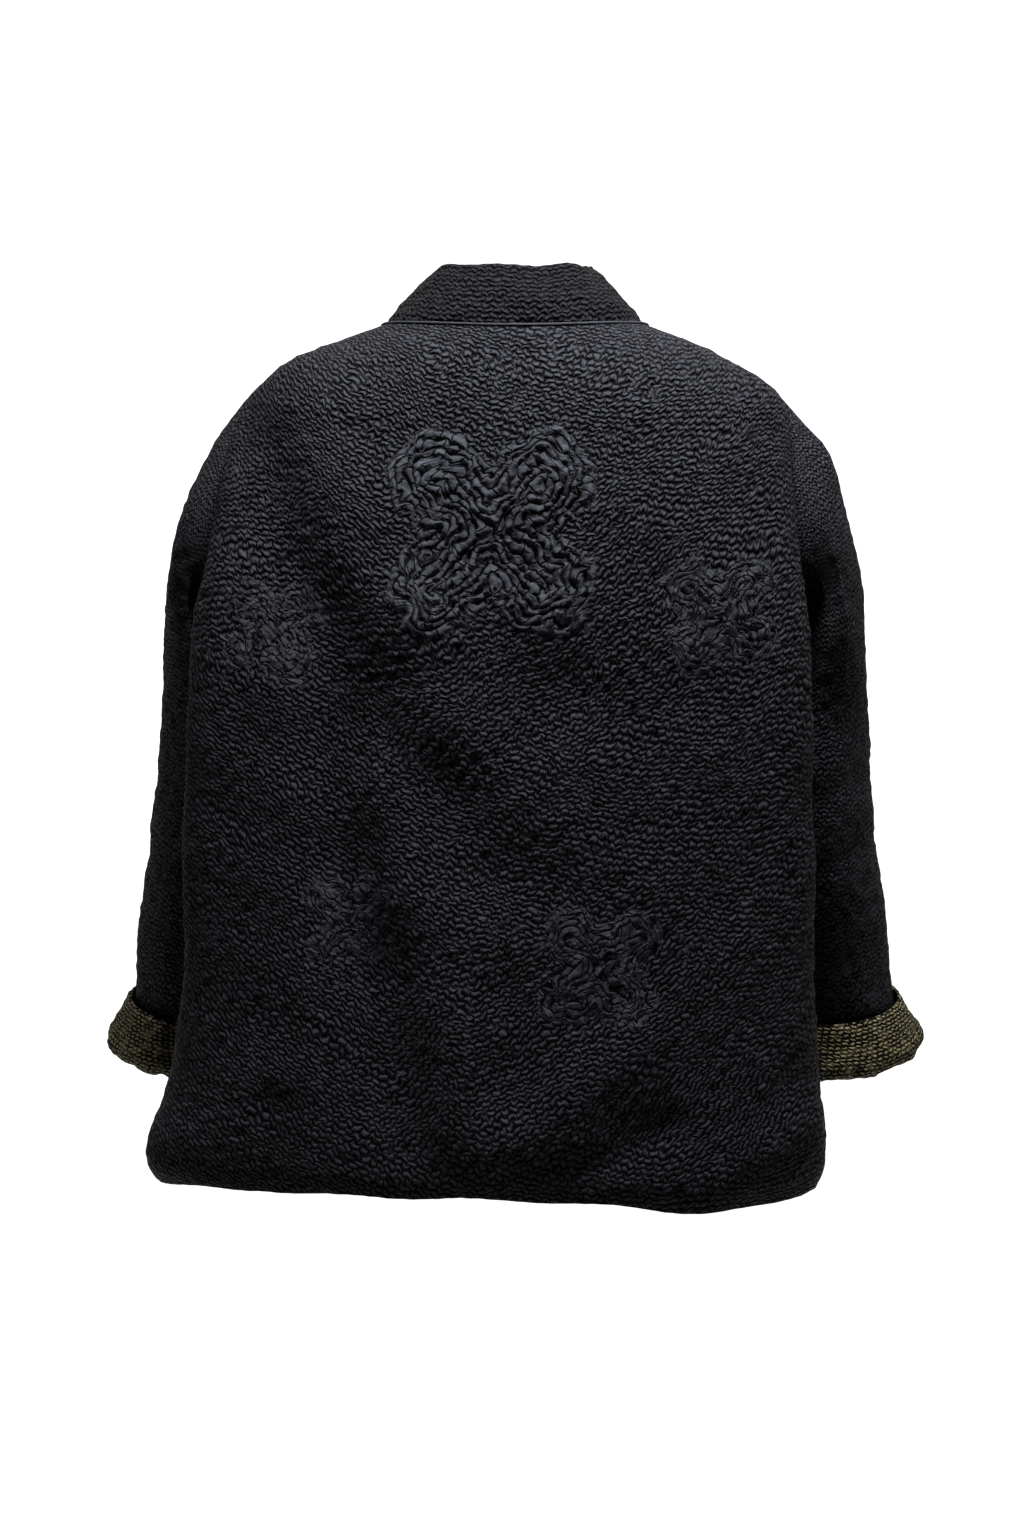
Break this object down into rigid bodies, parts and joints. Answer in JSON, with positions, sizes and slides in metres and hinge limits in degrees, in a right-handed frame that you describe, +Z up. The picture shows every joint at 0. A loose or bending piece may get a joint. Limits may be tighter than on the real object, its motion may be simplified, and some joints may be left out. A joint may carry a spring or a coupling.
{
  "type": "wool jacket",
  "caption": "Boxy hollow wool jacket in puckered black double-faced cloth, with dropped shoulders, a leaning band collar, turned-up olive cuffs and a plain open front.",
  "frame": {"origin": "midway between the two side neck points, where the wearer's shoulders carry the jacket", "axes": "+Z up, the front faces -Y and the back +Y, the wearer's left is +X"},
  "size_m": [0.642, 0.2996, 0.7111],
  "materials": {
    "black_cloth": "puckered felted wool, matt with a faint sheen",
    "olive_reverse": "puckered wool, matt"
  },
  "bodies": {
    "root": {"back": "black_cloth", "front_left": "black_cloth", "front_right": "black_cloth", "sleeve_left": "black_cloth", "sleeve_right": "black_cloth", "cuff_left": "olive_reverse", "cuff_right": "olive_reverse", "collar": "black_cloth"}
  },
  "joints": []
}
